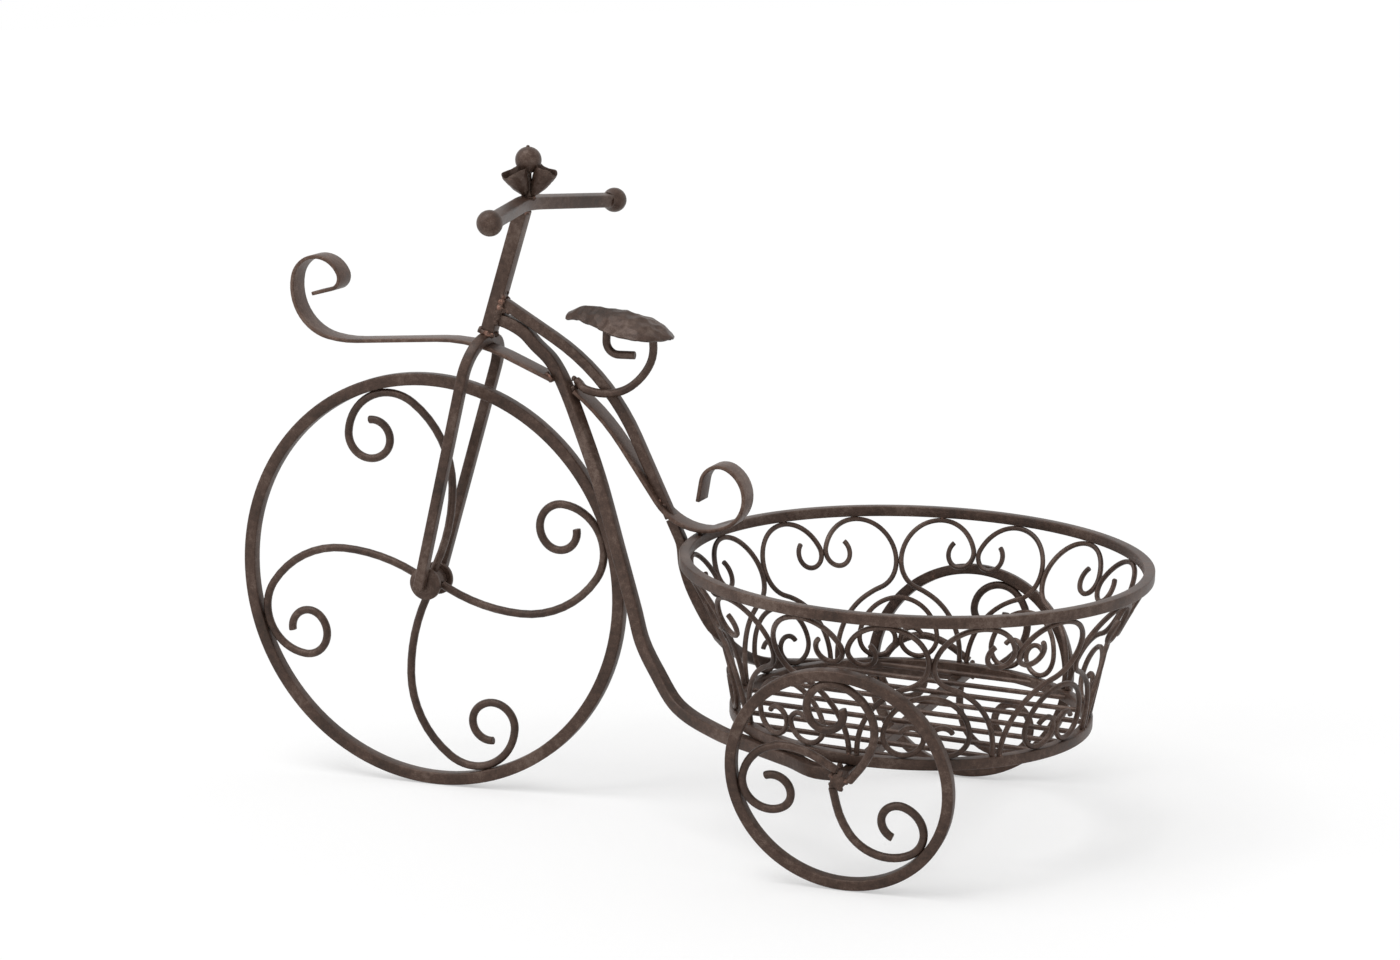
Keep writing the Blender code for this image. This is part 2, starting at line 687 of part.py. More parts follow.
def make_basket_bar(above, along):
    """The bar that goes on under the rear strip, down past the rim and round the far side to the axle."""
    start = above + along * BASKET_BAR_DROP
    lead = start + along * BASKET_BAR_LEAD
    stations = [(start.x, 0, start.y), (lead.x, 0, lead.y)]
    centre = Vector((WHEELBASE + BASKET_SET_BACK, 0, REAR_CENTRE_HEIGHT))
    for angle, away, height_share in BASKET_BAR_AWAY:
        reach = direction(angle) * (BASE_RADIUS + LIGHT_BAR + away)
        stations.append(centre + Vector((reach.x, reach.y, height_share * BASE_DEPTH)))
    end = Vector((WHEELBASE - LIGHT_BAR / 2 - GAP, BAR_END_SHARE * REAR_HALF_TRACK, REAR_CENTRE_HEIGHT))
    path = smooth(stations + [end - Vector((BAR_END_RUN, 0, 0)), end])
    bar("basket_bar", path, LIGHT_BAR, LIGHT_BAR, planter)


def make_seat_scroll():
    """The wire that carries the seat. It steps to the near side to pass the upper bar."""
    step_out, straight_from, straight_to, step_back = SEAT_SCROLL_PASS
    side = LIGHT_BAR / 2 + GAP + SPOKE_WIRE / 2
    height = SEAT_SCROLL_HEIGHT_SHARE * HUB_HEIGHT
    start, _ = beside_lower_bar(height, 1, SEAT_SCROLL_HEADING, SPOKE_WIRE, SEAT_SCROLL_GAP)
    points = []
    travelled = 0
    flat = bent(start, SEAT_SCROLL_HEADING, SEAT_SCROLL_BENDS)
    for index, point in enumerate(flat):
        if index:
            travelled += (point - flat[index - 1]).length
        if travelled < straight_to:
            share = (travelled - step_out) / (straight_from - step_out)
        else:
            share = (step_back - travelled) / (step_back - straight_to)
        share = min(max(share, 0), 1)
        points.append((point.x, point.y, side * share * share * (3 - 2 * share)))
    wire("seat_scroll", points, SPOKE_WIRE, planter, rotation=(90, 0, 0))


def make_seat():
    """A sheet cut to a teardrop and hammered to a dome, with its nose to the front."""
    rows = smooth(SEAT_SHARES)

    def build(bm):
        bmesh.ops.create_grid(bm, x_segments=len(rows) - 1, y_segments=SEAT_CELLS_ACROSS, size=1)
        for vertex in bm.verts:
            row = round((vertex.co.x + 1) / 2 * (len(rows) - 1))
            share, half, ridge, drop = rows[row]
            across = vertex.co.y
            height = ridge - drop * abs(across) ** SEAT_ROUNDNESS
            vertex.co = Vector((share, across * half, height)) * SEAT_LENGTH

    seat = mesh_object("seat", build, planter, location=(SEAT_NOSE[0], 0, SEAT_NOSE[1]))
    sheet = seat.modifiers.new("Sheet", "SOLIDIFY")
    sheet.thickness = SEAT_THICKNESS
    sheet.offset = -1


def make_rear_wheel(name, side, turns):
    centre = empty(f"{name}_wheel", planter, (WHEELBASE, side * REAR_HALF_TRACK, REAR_CENTRE_HEIGHT),
                   (-side * REAR_LEAN, 0, 0))
    middle = REAR_RADIUS - LIGHT_BAR / 2
    ring(f"{name}_wheel_ring", middle, LIGHT_BAR, centre, rotation=(90, 0, 0))
    reach = ring_inside(middle, LIGHT_BAR) - GAP - REAR_WIRE / 2
    points = wheel_scroll(REAR_START_SHARE, REAR_HEADING, REAR_BEND_SHARES, reach, STUB_RADIUS, REAR_WIRE)
    for number, turn in enumerate(turns):
        wire(f"{name}_scroll_{number + 1}", points, REAR_WIRE, centre, rotation=(90, -turn, 0))
    inner = -side * STUB_INWARD
    outer = side * STUB_OUTWARD
    high, low = max(-inner, -outer), min(-inner, -outer)
    profile = [(0, high), (STUB_RADIUS, high), (STUB_RADIUS, low), (0, low)]
    place = (WHEELBASE, side * REAR_HALF_TRACK, REAR_CENTRE_HEIGHT)
    turned(f"{name}_stub", profile, SMALL_STEPS, planter, location=place, rotation=(90, 0, 0))


def make_axle():
    length = 2 * (REAR_HALF_TRACK - STUB_INWARD - GAP)
    box("axle", (LIGHT_BAR, length, LIGHT_BAR), (WHEELBASE, 0, REAR_CENTRE_HEIGHT), None, planter)


def surface_radius(depth):
    """The radius of the basket's wall at this depth under the rim."""
    if depth < KINK_DEPTH:
        return RIM_RADIUS + (KINK_RADIUS - RIM_RADIUS) * depth / KINK_DEPTH
    return KINK_RADIUS + (BASE_RADIUS - KINK_RADIUS) * (depth - KINK_DEPTH) / (BASE_DEPTH - KINK_DEPTH)


def wrapped(flat, centre, side):
    """A flat path of arc lengths and heights bent round the basket's wall."""
    points = []
    for point in flat:
        radius = surface_radius(-point.y)
        angle = math.radians(centre) + side * point.x / radius
        points.append((radius * math.cos(angle), radius * math.sin(angle), point.y))
    return points


def fitted(points, low, high):
    """The path stretched to fill the box between these two corners."""
    least = Vector((min(p.x for p in points), min(p.y for p in points)))
    most = Vector((max(p.x for p in points), max(p.y for p in points)))
    span = most - least
    return [
        Vector((
            low[0] + (p.x - least.x) / span.x * (high[0] - low[0]),
            low[1] + (p.y - least.y) / span.y * (high[1] - low[1]),
        ))
        for p in points
    ]


def heart_path():
    """Half a heart, from its inner curl over the lobe to its foot on the base ring."""
    clearance = BASKET_WIRE / 2 + GAP
    top = -(LIGHT_BAR / 2 + clearance)
    foot = -(BASE_DEPTH - LIGHT_BAR / 2 - 2 * GAP)
    height = top - foot
    path = bent((0, 0), HEART_HEADING, scaled(HEART_BEND_SHARES, height))
    inner = (BASKET_WIRE + GAP) / 2
    path = fitted(path, (0, foot), (1, top))
    outer = min(
        (math.pi / HEART_COUNT * surface_radius(-point.y) - 2 * inner) / point.x
        for point in path
        if point.x > 0
    )
    return fitted(path, (inner, foot), (inner + outer, top))


def arch_path():
    """One wire with a curl at each end, bent to an arch that stands on the base ring."""
    foot = -(BASE_DEPTH - LIGHT_BAR / 2 - GAP - BASKET_WIRE / 2)
    height = -ARCH_DEPTH - foot
    half = bent((0, 0), ARCH_HEADING, scaled(ARCH_BEND_SHARES, height))
    half = fitted(half, (0, foot), (ARCH_HALF_WIDTH, -ARCH_DEPTH))
    return half + [Vector((-point.x, point.y)) for point in half[-2::-1]]


def make_basket():
    rim = empty("basket", planter, (RIM_X, 0, RIM_HEIGHT), (0, BASKET_TILT, 0))
    ring("basket_rim", RIM_RADIUS, LIGHT_BAR, rim)
    heart = heart_path()
    arch = arch_path()
    for number in range(HEART_COUNT):
        centre = number * 360 / HEART_COUNT
        for name, side in (("left", -1), ("right", 1)):
            wire(f"heart_{number + 1}_{name}", wrapped(heart, centre, side), BASKET_WIRE, rim)
        wire(f"arch_{number + 1}", wrapped(arch, centre + 180 / HEART_COUNT, 1), BASKET_WIRE, rim)
    base = ring("base_grid", BASE_RADIUS, LIGHT_BAR, rim, location=(0, 0, -BASE_DEPTH))
    inner = BASE_RADIUS - LIGHT_BAR / 2
    half_count = int(inner / GRID_SPACING - BASKET_WIRE / GRID_SPACING)
    for number in range(-half_count, half_count + 1):
        offset = number * GRID_SPACING
        length = 2 * math.sqrt(BASE_RADIUS**2 - offset**2)

        def build(bm):
            bmesh.ops.create_cone(
                bm,
                cap_ends=True,
                segments=2 * WIRE_ROUNDNESS + 4,
                radius1=BASKET_WIRE / 2,
                radius2=BASKET_WIRE / 2,
                depth=length,
            )

        rod = mesh_object(f"grid_rod_{number + half_count + 1}", build, rim, collection=guides,
                          location=(0, offset, -BASE_DEPTH), rotation=(0, 90, 0))
        join = base.modifiers.new("Rod", "BOOLEAN")
        join.operation = "UNION"
        join.object = rod


for old in list(bpy.data.objects):
    bpy.data.objects.remove(old, do_unlink=True)

parts = bpy.data.collections.new("bicycle_planter")
guides = bpy.data.collections.new("cutters_and_guides")
bpy.context.scene.collection.children.link(parts)
bpy.context.scene.collection.children.link(guides)

planter = empty("planter", None, (-MIDDLE_X, 0, 0))
lower_path = lower_bar_points()
make_front_wheel()
make_front_axle()
make_fork()
make_stem()
make_handlebar()
make_finial()
make_lower_bar()
make_basket_bar(*make_upper_bar())
make_strips()
make_seat()
make_seat_scroll()
make_rear_wheel("near", -1, NEAR_TURNS)
make_rear_wheel("far", 1, FAR_TURNS)
make_axle()
make_basket()
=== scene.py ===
"""A wrought-iron tricycle planter: a flared scroll basket between two small wheels, carried by bent bars from the
steering stem of one large wheel. Lengths are in metres and angles in degrees. X runs from the front wheel to the
basket and Z is up.
"""

import json
import math

import bpy
from mathutils import Euler, Matrix, Vector

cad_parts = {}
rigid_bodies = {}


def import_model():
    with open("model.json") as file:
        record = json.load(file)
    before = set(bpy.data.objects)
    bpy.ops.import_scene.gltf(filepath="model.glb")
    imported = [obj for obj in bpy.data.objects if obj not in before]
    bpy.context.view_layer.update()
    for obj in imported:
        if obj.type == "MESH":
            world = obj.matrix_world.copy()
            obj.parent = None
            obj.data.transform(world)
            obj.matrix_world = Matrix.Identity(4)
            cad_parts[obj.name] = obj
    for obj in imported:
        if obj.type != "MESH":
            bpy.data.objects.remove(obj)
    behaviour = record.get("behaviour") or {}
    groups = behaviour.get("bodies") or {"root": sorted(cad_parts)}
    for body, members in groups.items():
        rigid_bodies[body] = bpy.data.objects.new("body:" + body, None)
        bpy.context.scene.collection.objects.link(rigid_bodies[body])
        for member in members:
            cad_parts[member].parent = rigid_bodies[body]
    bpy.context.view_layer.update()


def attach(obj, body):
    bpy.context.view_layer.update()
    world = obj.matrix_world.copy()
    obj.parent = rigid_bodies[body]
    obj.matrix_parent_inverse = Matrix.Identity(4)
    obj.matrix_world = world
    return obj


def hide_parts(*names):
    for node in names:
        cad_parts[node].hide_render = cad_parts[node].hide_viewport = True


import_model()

# The studio: a camera at the photograph's angle, a white floor that keeps the planter's shadow, and soft light
# from a wide sun overhead and a weaker one at the front left. Each sun has an aim, a spread and a strength.
VIEW_PLACE = (0.88406, -2.1234, 0.7193)
VIEW_LENS = 80.26
SUNS = (((0.25, 0.3, -1), 34, 1.25), ((1, 0.9, -0.7), 20, 0.45))
SOFT_LIGHT, WHITE_LIGHT = 0.6, 1.0
FLOOR_RADIUS, FLOOR_GLOW, FLOOR_GLOW_SHARE = 12, 1.1, 0.4
VIEW_YAW, VIEW_PITCH, VIEW_ROLL = math.radians(22.03), math.radians(11.4), math.radians(-1.25)
look = Vector((-math.sin(VIEW_YAW) * math.cos(VIEW_PITCH), math.cos(VIEW_YAW) * math.cos(VIEW_PITCH),
               -math.sin(VIEW_PITCH)))
level = Vector((math.cos(VIEW_YAW), math.sin(VIEW_YAW), 0))
upright = level.cross(look)
right = level * math.cos(VIEW_ROLL) + upright * math.sin(VIEW_ROLL)
up = upright * math.cos(VIEW_ROLL) - level * math.sin(VIEW_ROLL)
turn_to_view = Matrix((right, up, -look)).transposed().to_4x4()
bpy.ops.object.camera_add()
camera = bpy.context.object
camera.matrix_world = Matrix.Translation(VIEW_PLACE) @ turn_to_view
camera.data.sensor_fit = "HORIZONTAL"
camera.data.sensor_width = 36
camera.data.lens = VIEW_LENS
bpy.context.scene.camera = camera
bpy.context.scene.view_settings.view_transform = "Standard"

for aim, spread, power in SUNS:
    bpy.ops.object.light_add(type="SUN", location=(0, 0, 2))
    lamp = bpy.context.object
    lamp.rotation_euler = Vector(aim).to_track_quat("-Z", "Y").to_euler()
    lamp.data.angle = math.radians(spread)
    lamp.data.energy = power


class Tone:
    """A socket in a node tree. Sums and products of tones add the Math nodes that work them out."""

    def __init__(self, tree, socket):
        self.tree = tree
        self.socket = socket

    def node(self, kind, sockets=None, result=0, **settings):
        """Adds a node, fills or links its sockets and gives its result as a tone."""
        made = self.tree.nodes.new(kind)
        for setting, value in settings.items():
            setattr(made, setting, value)
        for name, value in (sockets or {}).items():
            if isinstance(value, Tone):
                self.tree.links.new(value.socket, made.inputs[name])
            else:
                made.inputs[name].default_value = value
        return Tone(self.tree, made.outputs[result]) if made.outputs else None

    def maths(self, operation, other):
        return self.node("ShaderNodeMath", {0: self, 1: other}, operation=operation)

    def __add__(self, other):
        return self.maths("ADD", other)

    def __mul__(self, other):
        return self.maths("MULTIPLY", other)

    __radd__ = __add__

    def between(self, first, second):
        """The first colour where this tone is 0 and the second where it is 1."""
        return self.node("ShaderNodeMix", {0: self, 6: first, 7: second}, result=2, data_type="RGBA")

    def ramp(self, stops):
        """The colour that the stops give at this tone's value."""
        colour = self.node("ShaderNodeValToRGB", {"Fac": self})
        elements = colour.socket.node.color_ramp.elements
        while len(elements) < len(stops):
            elements.new(1)
        for element, (position, shade) in zip(elements, stops):
            element.position = position
            element.color = (*shade, 1)
        return colour


def new_tree(owner):
    owner.use_nodes = True
    owner.node_tree.nodes.clear()
    return Tone(owner.node_tree, None)


surround = bpy.data.worlds.new("studio_surround")
bpy.context.scene.world = surround
air = new_tree(surround)
seen = air.node("ShaderNodeLightPath", result="Is Camera Ray")
for ray in ("Is Transmission Ray", "Is Glossy Ray"):
    seen = seen.maths("MAXIMUM", air.node("ShaderNodeLightPath", result=ray))
soft = air.node("ShaderNodeBackground", {"Color": (1, 1, 1, 1), "Strength": SOFT_LIGHT})
plain = air.node("ShaderNodeBackground", {"Color": (1, 1, 1, 1), "Strength": WHITE_LIGHT})
air.node("ShaderNodeOutputWorld", {"Surface": air.node("ShaderNodeMixShader", {0: seen, 1: soft, 2: plain})})

bpy.ops.mesh.primitive_circle_add(vertices=96, radius=FLOOR_RADIUS, fill_type="NGON", location=(0.1, 0.2, 0))
floor = bpy.context.object
floor.name = "studio_floor"
white_floor = bpy.data.materials.new("white_floor")
ground = new_tree(white_floor)
drawn = ground.node("ShaderNodeLightPath", result="Is Camera Ray") * FLOOR_GLOW_SHARE
cover = ground.node("ShaderNodeTexNoise", {"Scale": 3.0, "Detail": 2.0})
tint = cover.between((0.93, 0.93, 0.93, 1), (0.95, 0.95, 0.95, 1))
matt = ground.node("ShaderNodeBsdfDiffuse", {"Color": tint})
glow = ground.node("ShaderNodeEmission", {"Color": (1, 1, 1, 1), "Strength": FLOOR_GLOW})
mixed = ground.node("ShaderNodeMixShader", {0: drawn, 1: matt, 2: glow})
ground.node("ShaderNodeOutputMaterial", {"Surface": mixed})
floor.data.materials.append(white_floor)

# The large front wheel's tread: square bar rolled into a ring and welded shut, then painted dark brown over black
# iron. The paint is mottled and rounds the bar's corners.
WHEEL_CENTRE = (-0.203139, 0, 0.16475)
TREAD_RADIUS = 0.15985
HEAVY_BAR = 0.0095
EASING = 0.14
# The copper colour of the painted glints of light in the paint.
GLINT_COPPER = (0.25, 0.135, 0.1, 1)


def painted_iron(name, light, glint=0.0, dents=0.0):
    """Brown paint on iron: cloudy patches, fine mottling, painted copper highlights, and dents where it is hammered.
    """
    paint = bpy.data.materials.new(name)
    tone = new_tree(paint)
    spot = tone.node("ShaderNodeTexCoord", result="Object")

    def noise(scale, detail, roughness=0.5):
        return tone.node("ShaderNodeTexNoise", {
            "Vector": spot, "Scale": scale, "Detail": detail, "Roughness": roughness})

    cloud = noise(22.0, 4.0)
    mottle = noise(210.0, 6.0, 0.65)
    grain = noise(1300.0, 3.0)
    streak = noise(75.0, 5.0, 0.7)
    browns = (
        (0.36, (0.0235, 0.0148, 0.0105)),
        (0.48, (0.0515, 0.0298, 0.0208)),
        (0.58, (0.0855, 0.0495, 0.0355)),
        (0.7, (0.165, 0.116, 0.092)),
    )
    stops = [(position, [part * light for part in shade]) for position, shade in browns]
    brown = (cloud * 0.45 + mottle * 0.4 + grain * 0.25).ramp(stops)
    # Copper-coloured spots painted in as glints of light, where the paint is also made more metallic.
    glint_spots = tone.node("ShaderNodeMapRange", {
        "Value": streak * 0.6 + mottle * 0.4, "From Min": 0.63 - glint, "From Max": 0.74 - glint,
    }, interpolation_type="SMOOTHSTEP")
    height = mottle * 0.5 + grain * 0.2
    if dents:
        cells = tone.node("ShaderNodeTexVoronoi", {
            "Vector": spot, "Scale": 150.0, "Smoothness": 0.6}, feature="SMOOTH_F1")
        height = height + cells * dents
    relief = tone.node("ShaderNodeBump", {"Strength": 0.45, "Distance": 0.0009, "Height": height})
    shader = tone.node("ShaderNodeBsdfPrincipled", {
        "Base Color": (glint_spots * 0.8).between(brown, GLINT_COPPER),
        "Roughness": 0.3 + mottle * 0.32,
        "Metallic": 0.3 + glint_spots * 0.5,
        "Normal": relief,
        "Specular IOR Level": 0.3,
        "Coat Weight": 0.08,
        "Coat Roughness": 0.3,
    })
    tone.node("ShaderNodeOutputMaterial", {"Surface": shader})
    return paint


iron = painted_iron("painted_iron", 0.86)


def settle(piece, name, matrix=Matrix()):
    """Puts the piece's place and turn into its mesh, and smooths its round faces."""
    bpy.ops.object.mode_set(mode="OBJECT")
    bpy.ops.object.select_all(action="DESELECT")
    piece.select_set(True)
    bpy.context.view_layer.objects.active = piece
    piece.name = piece.data.name = name
    piece.matrix_world = matrix @ piece.matrix_world
    bpy.ops.object.transform_apply(location=True, rotation=True, scale=True)
    bpy.ops.object.mode_set(mode="EDIT")
    bpy.ops.mesh.select_all(action="SELECT")
    bpy.ops.mesh.remove_doubles(threshold=0.00001)
    bpy.ops.mesh.normals_make_consistent(inside=False)
    bpy.ops.object.mode_set(mode="OBJECT")
    bpy.ops.object.shade_smooth_by_angle(angle=math.radians(40))


def hand_over(piece, paint, body, *nodes, slot="iron"):
    """Paints the piece, hangs it on its body and hides the solids that it stands for."""
    piece.data.materials.clear()
    piece.data.materials.append(paint)
    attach(piece, body)
    if nodes:
        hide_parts(*nodes)


def turn(x, y, z, at=(0, 0, 0)):
    return Matrix.Translation(at) @ Euler([math.radians(angle) for angle in (x, y, z)]).to_matrix().to_4x4()


def rolled_ring(name, radius, bar, matrix, steps=144):
    """A square bar with eased corners, spun into a ring that lies flat, then put in place."""
    bpy.ops.object.select_all(action="DESELECT")
    bpy.ops.mesh.primitive_plane_add(size=bar, location=(radius, 0, 0), rotation=(math.pi / 2, 0, 0))
    piece = bpy.context.object
    bpy.ops.object.transform_apply(location=True, rotation=True, scale=True)
    bpy.ops.object.mode_set(mode="EDIT")
    bpy.ops.mesh.select_all(action="SELECT")
    bpy.ops.mesh.bevel(offset=bar * EASING, segments=3, affect="VERTICES")
    bpy.ops.mesh.delete(type="ONLY_FACE")
    bpy.ops.mesh.select_all(action="SELECT")
    bpy.ops.mesh.spin(steps=steps, angle=2 * math.pi, center=(0, 0, 0), axis=(0, 0, 1))
    settle(piece, name, matrix)
    return piece


tread = rolled_ring("front_tread", TREAD_RADIUS, HEAVY_BAR, turn(90, 0, 0, WHEEL_CENTRE))
hand_over(tread, iron, "front_wheel", "front_wheel_ring")

# The four spokes: round rod bent cold round a scroll jig, from the hub out along the tread and back in a curl that
# ends in a square cut.
SPOKE_ROD = 0.00635
SPOKE_START, SPOKE_HEADING = (0.0025, 0.00918), 62.6
SPOKE_BENDS = ((0.0056, 0), (0.14487, 25.5), (0.07689, 56), (0.03599, 120.4), (0.01861, 140.8), (0.01492, 144.5))
BEND_STEP, BEND_PACE = 7.5, 0.012


def heading_of(angle):
    return Vector((math.cos(math.radians(angle)), math.sin(math.radians(angle)), 0))


def bend_along(start, heading, bends):
    """Extrudes and spins the selected end face on the flat through bends of a radius and a turn, or a length and 0."""
    point = Vector((*start, 0))
    for size, angle in bends:
        if angle == 0:
            bpy.ops.mesh.extrude_region_move(TRANSFORM_OT_translate={"value": heading_of(heading) * size})
            point += heading_of(heading) * size
            continue
        side = math.copysign(1, angle)
        centre = point + heading_of(heading + side * 90) * size
        steps = max(math.ceil(abs(angle) / BEND_STEP), math.ceil(math.radians(abs(angle)) * size / BEND_PACE))
        bpy.ops.mesh.spin(steps=steps, angle=math.radians(-angle), center=centre, axis=(0, 0, 1))
        heading += angle
        point = centre - heading_of(heading + side * 90) * size


def ease_cuts(piece, width):
    """Rounds the sharp edges of a cut end."""
    easing = piece.modifiers.new("Eased", "BEVEL")
    easing.limit_method = "ANGLE"
    easing.angle_limit = math.radians(60)
    easing.width = width
    easing.segments = 2
    bpy.ops.object.modifier_apply(modifier=easing.name)


def bent_rod(name, diameter, start, heading, bends, matrix):
    bpy.ops.object.select_all(action="DESELECT")
    bpy.ops.mesh.primitive_circle_add(vertices=12, radius=diameter / 2, fill_type="NGON", location=(*start, 0),
                                      rotation=(0, math.pi / 2, math.radians(heading)))
    piece = bpy.context.object
    bpy.ops.object.transform_apply(location=True, rotation=True, scale=True)
    bpy.ops.object.mode_set(mode="EDIT")
    bpy.ops.mesh.select_all(action="SELECT")
    bend_along(start, heading, bends)
    settle(piece, name, matrix)
    ease_cuts(piece, diameter * 0.1)
    return piece


def copy_of(piece, name, matrix):
    """A copy with its own mesh, turned and moved."""
    twin = piece.copy()
    twin.data = piece.data.copy()
    twin.name = twin.data.name = name
    bpy.context.scene.collection.objects.link(twin)
    twin.data.transform(matrix)
    return twin


spoke = bent_rod("spoke", SPOKE_ROD, SPOKE_START, SPOKE_HEADING, SPOKE_BENDS, turn(90, 0, 0))
for number in range(4):
    around = turn(0, number * 90, 0, WHEEL_CENTRE)
    hand_over(copy_of(spoke, f"spoke_{number + 1}", around), iron, "front_wheel", f"front_spoke_{number + 1}")
bpy.data.objects.remove(spoke)

# The front hub: a short turned barrel on a pin between two round discs, which the fork's legs are welded to. Each
# disc's outer face is struck to a low dome.
BARREL_RADIUS, BARREL_HALF = 0.0095, 0.0083
DISC_RADIUS, DISC_INNER, DISC_OUTER = 0.013, 0.0088, 0.0128


def lathe(name, profile, matrix, steps=48):
    """A profile of (radius, height) spun about Z, closed where it meets the middle."""
    bpy.ops.object.select_all(action="DESELECT")
    bpy.ops.mesh.primitive_plane_add(size=0.001)
    piece = bpy.context.object
    bpy.ops.object.mode_set(mode="EDIT")
    bpy.ops.mesh.select_all(action="SELECT")
    bpy.ops.mesh.merge(type="CENTER")
    bpy.ops.transform.translate(value=(profile[0][0], 0, profile[0][1]))
    for (radius, height), (next_radius, next_height) in zip(profile, profile[1:]):
        step = (next_radius - radius, 0, next_height - height)
        bpy.ops.mesh.extrude_vertices_move(TRANSFORM_OT_translate={"value": step})
    bpy.ops.mesh.select_all(action="SELECT")
    bpy.ops.mesh.spin(steps=steps, angle=2 * math.pi, center=(0, 0, 0), axis=(0, 0, 1))
    settle(piece, name, matrix)
    return piece


outline = ((0, BARREL_HALF), (BARREL_RADIUS - 0.0007, BARREL_HALF), (BARREL_RADIUS, BARREL_HALF - 0.0009))
outline += tuple((radius, -height) for radius, height in reversed(outline))
barrel = lathe("hub_barrel", outline, turn(90, 0, 0, WHEEL_CENTRE))
hand_over(barrel, iron, "front_wheel", "front_hub_barrel")
half_pin = ((0.004, 0), (0.004, DISC_INNER), (DISC_RADIUS - 0.0008, DISC_INNER), (DISC_RADIUS, DISC_INNER + 0.0008),
            (DISC_RADIUS, DISC_OUTER - 0.001), (DISC_RADIUS - 0.001, DISC_OUTER - 0.0002), (0.008, DISC_OUTER),
            (0, DISC_OUTER))
outline = tuple((radius, -height) for radius, height in half_pin[:0:-1]) + half_pin
pin = lathe("hub_pin", outline, turn(90, 0, 0, WHEEL_CENTRE))
hand_over(pin, iron, "frame", "front_axle")

# The fork: one square bar bent over the tread with two round corners. Its legs lean apart on the way up, and their
# feet are hammered on to the hub's discs.
LIGHT_BAR = 0.008
FORK_RAKE, FORK_SPREAD = 16.5, 3.9
FORK_FOOT = (-0.0171, -0.004)
FORK_LEG, FORK_CROWN = (0.1787, 0), (0.00663, 0)
FORK_CORNER = (0.026, -90 - FORK_SPREAD)


def bent_bar(name, width, thickness, start, heading, bends, matrix, easing=EASING):
    """A flat or square bar with eased corners: its thickness is in the plane of the bends and its width across it."""
    bpy.ops.object.select_all(action="DESELECT")
    bpy.ops.mesh.primitive_plane_add(size=1, location=(*start, 0), rotation=(0, math.pi / 2, math.radians(heading)))
    piece = bpy.context.object
    piece.scale = (width, thickness, 1)
    bpy.ops.object.transform_apply(location=True, rotation=True, scale=True)
    bpy.ops.object.mode_set(mode="EDIT")
    bpy.ops.mesh.select_all(action="SELECT")
    bpy.ops.mesh.bevel(offset=min(width, thickness) * easing, segments=3, affect="VERTICES")
    bend_along(start, heading, bends)
    settle(piece, name, matrix)
    ease_cuts(piece, min(width, thickness) * 0.1)
    return piece


fork = bent_bar("fork_bar", LIGHT_BAR, LIGHT_BAR, FORK_FOOT, 90 + FORK_SPREAD,
                (FORK_LEG, FORK_CORNER, FORK_CROWN, FORK_CORNER, FORK_LEG),
                turn(0, FORK_RAKE, 0, (-0.204739, 0, WHEEL_CENTRE[2])) @ turn(90, 0, 90))
hand_over(fork, iron, "frame", "fork")

# The stem: the heaviest square bar, standing on the fork's crown. Its foot is sawn off square and welded all round,
# and it leans back a little more than the fork.
STEM_BAR, STEM_LENGTH, STEM_RAKE = 0.011, 0.1002, 18.7
STEM_FOOT = (-0.146072, 0.362805)
stem = bent_bar("stem_bar", STEM_BAR, STEM_BAR, STEM_FOOT, 90 - STEM_RAKE, ((STEM_LENGTH, 0),), turn(90, 0, 0),
                easing=0.1)
hand_over(stem, iron, "frame", "stem")

# The handlebar: square bar bent back in the middle and welded across the stem's top. A cast ball with a short
# collar is driven on each end.
HANDLE_BAR, HANDLE_SWEEP = 0.01, 12.2
HANDLE_START = (-0.10953, 0.0216)
HANDLE_GRIP = (0.0926, 0)
KNOB_RADIUS = 0.0096
KNOB_COLLAR = [(0.0063, -0.0079), (0.0061, -0.0092), (0, -0.0092)]
handle_place = turn(-2.2, 14.4, 0, (-0.109782, 0, 0.462555))
handle = bent_bar("handle_bar", HANDLE_BAR, HANDLE_BAR, HANDLE_START, -HANDLE_SWEEP,
                  (HANDLE_GRIP, (0.09, 2 * HANDLE_SWEEP), HANDLE_GRIP), handle_place @ turn(0, 0, -90))
hand_over(handle, iron, "frame", "handlebar")


def round_outline(radius, height, angles):
    """Points down the side of a ball whose middle is at this height."""
    angles = [math.radians(angle) for angle in angles]
    return [(radius * math.sin(angle), height + radius * math.cos(angle)) for angle in angles]


knob_outline = [(0, KNOB_RADIUS)] + round_outline(KNOB_RADIUS, 0, [11.25 * step for step in range(1, 13)])
for name, side in (("near_knob", -1), ("far_knob", 1)):
    grip = handle_place @ turn(0, 0, -side * HANDLE_SWEEP, (0.022785, side * 0.115, 0)) @ turn(-side * 90, 0, 0)
    hand_over(lathe(name + "_ball", knob_outline + KNOB_COLLAR, grip), iron, "frame", name)

# The finial: a cast ball with a small nib, on a thin neck between two cupped leaves that are beaten out of sheet and
# welded to the top of the handlebar.
LEAF_SHEET = 0.0011
FINIAL_BALL, FINIAL_HEIGHT = 0.01, 0.027
FINIAL_NIB = [(0, 0.0383), (0.0012, 0.0377), (0.0014, 0.0369)]
FINIAL_NECK = [(0.0021, 0.0168), (0.002, 0.004), (0.0034, 0.0008), (0.0034, 0), (0, 0)]
hammered_iron = painted_iron("hammered_iron", 0.78, glint=0.03, dents=0.9)
finial_ball = round_outline(FINIAL_BALL, FINIAL_HEIGHT, [8 + 11.3 * step for step in range(1, 15)])
finial = lathe("finial", FINIAL_NIB + finial_ball + FINIAL_NECK, turn(0, 0, 0, (-0.108182, 0, 0.4679)))
hand_over(finial, iron, "frame", "finial_ball")


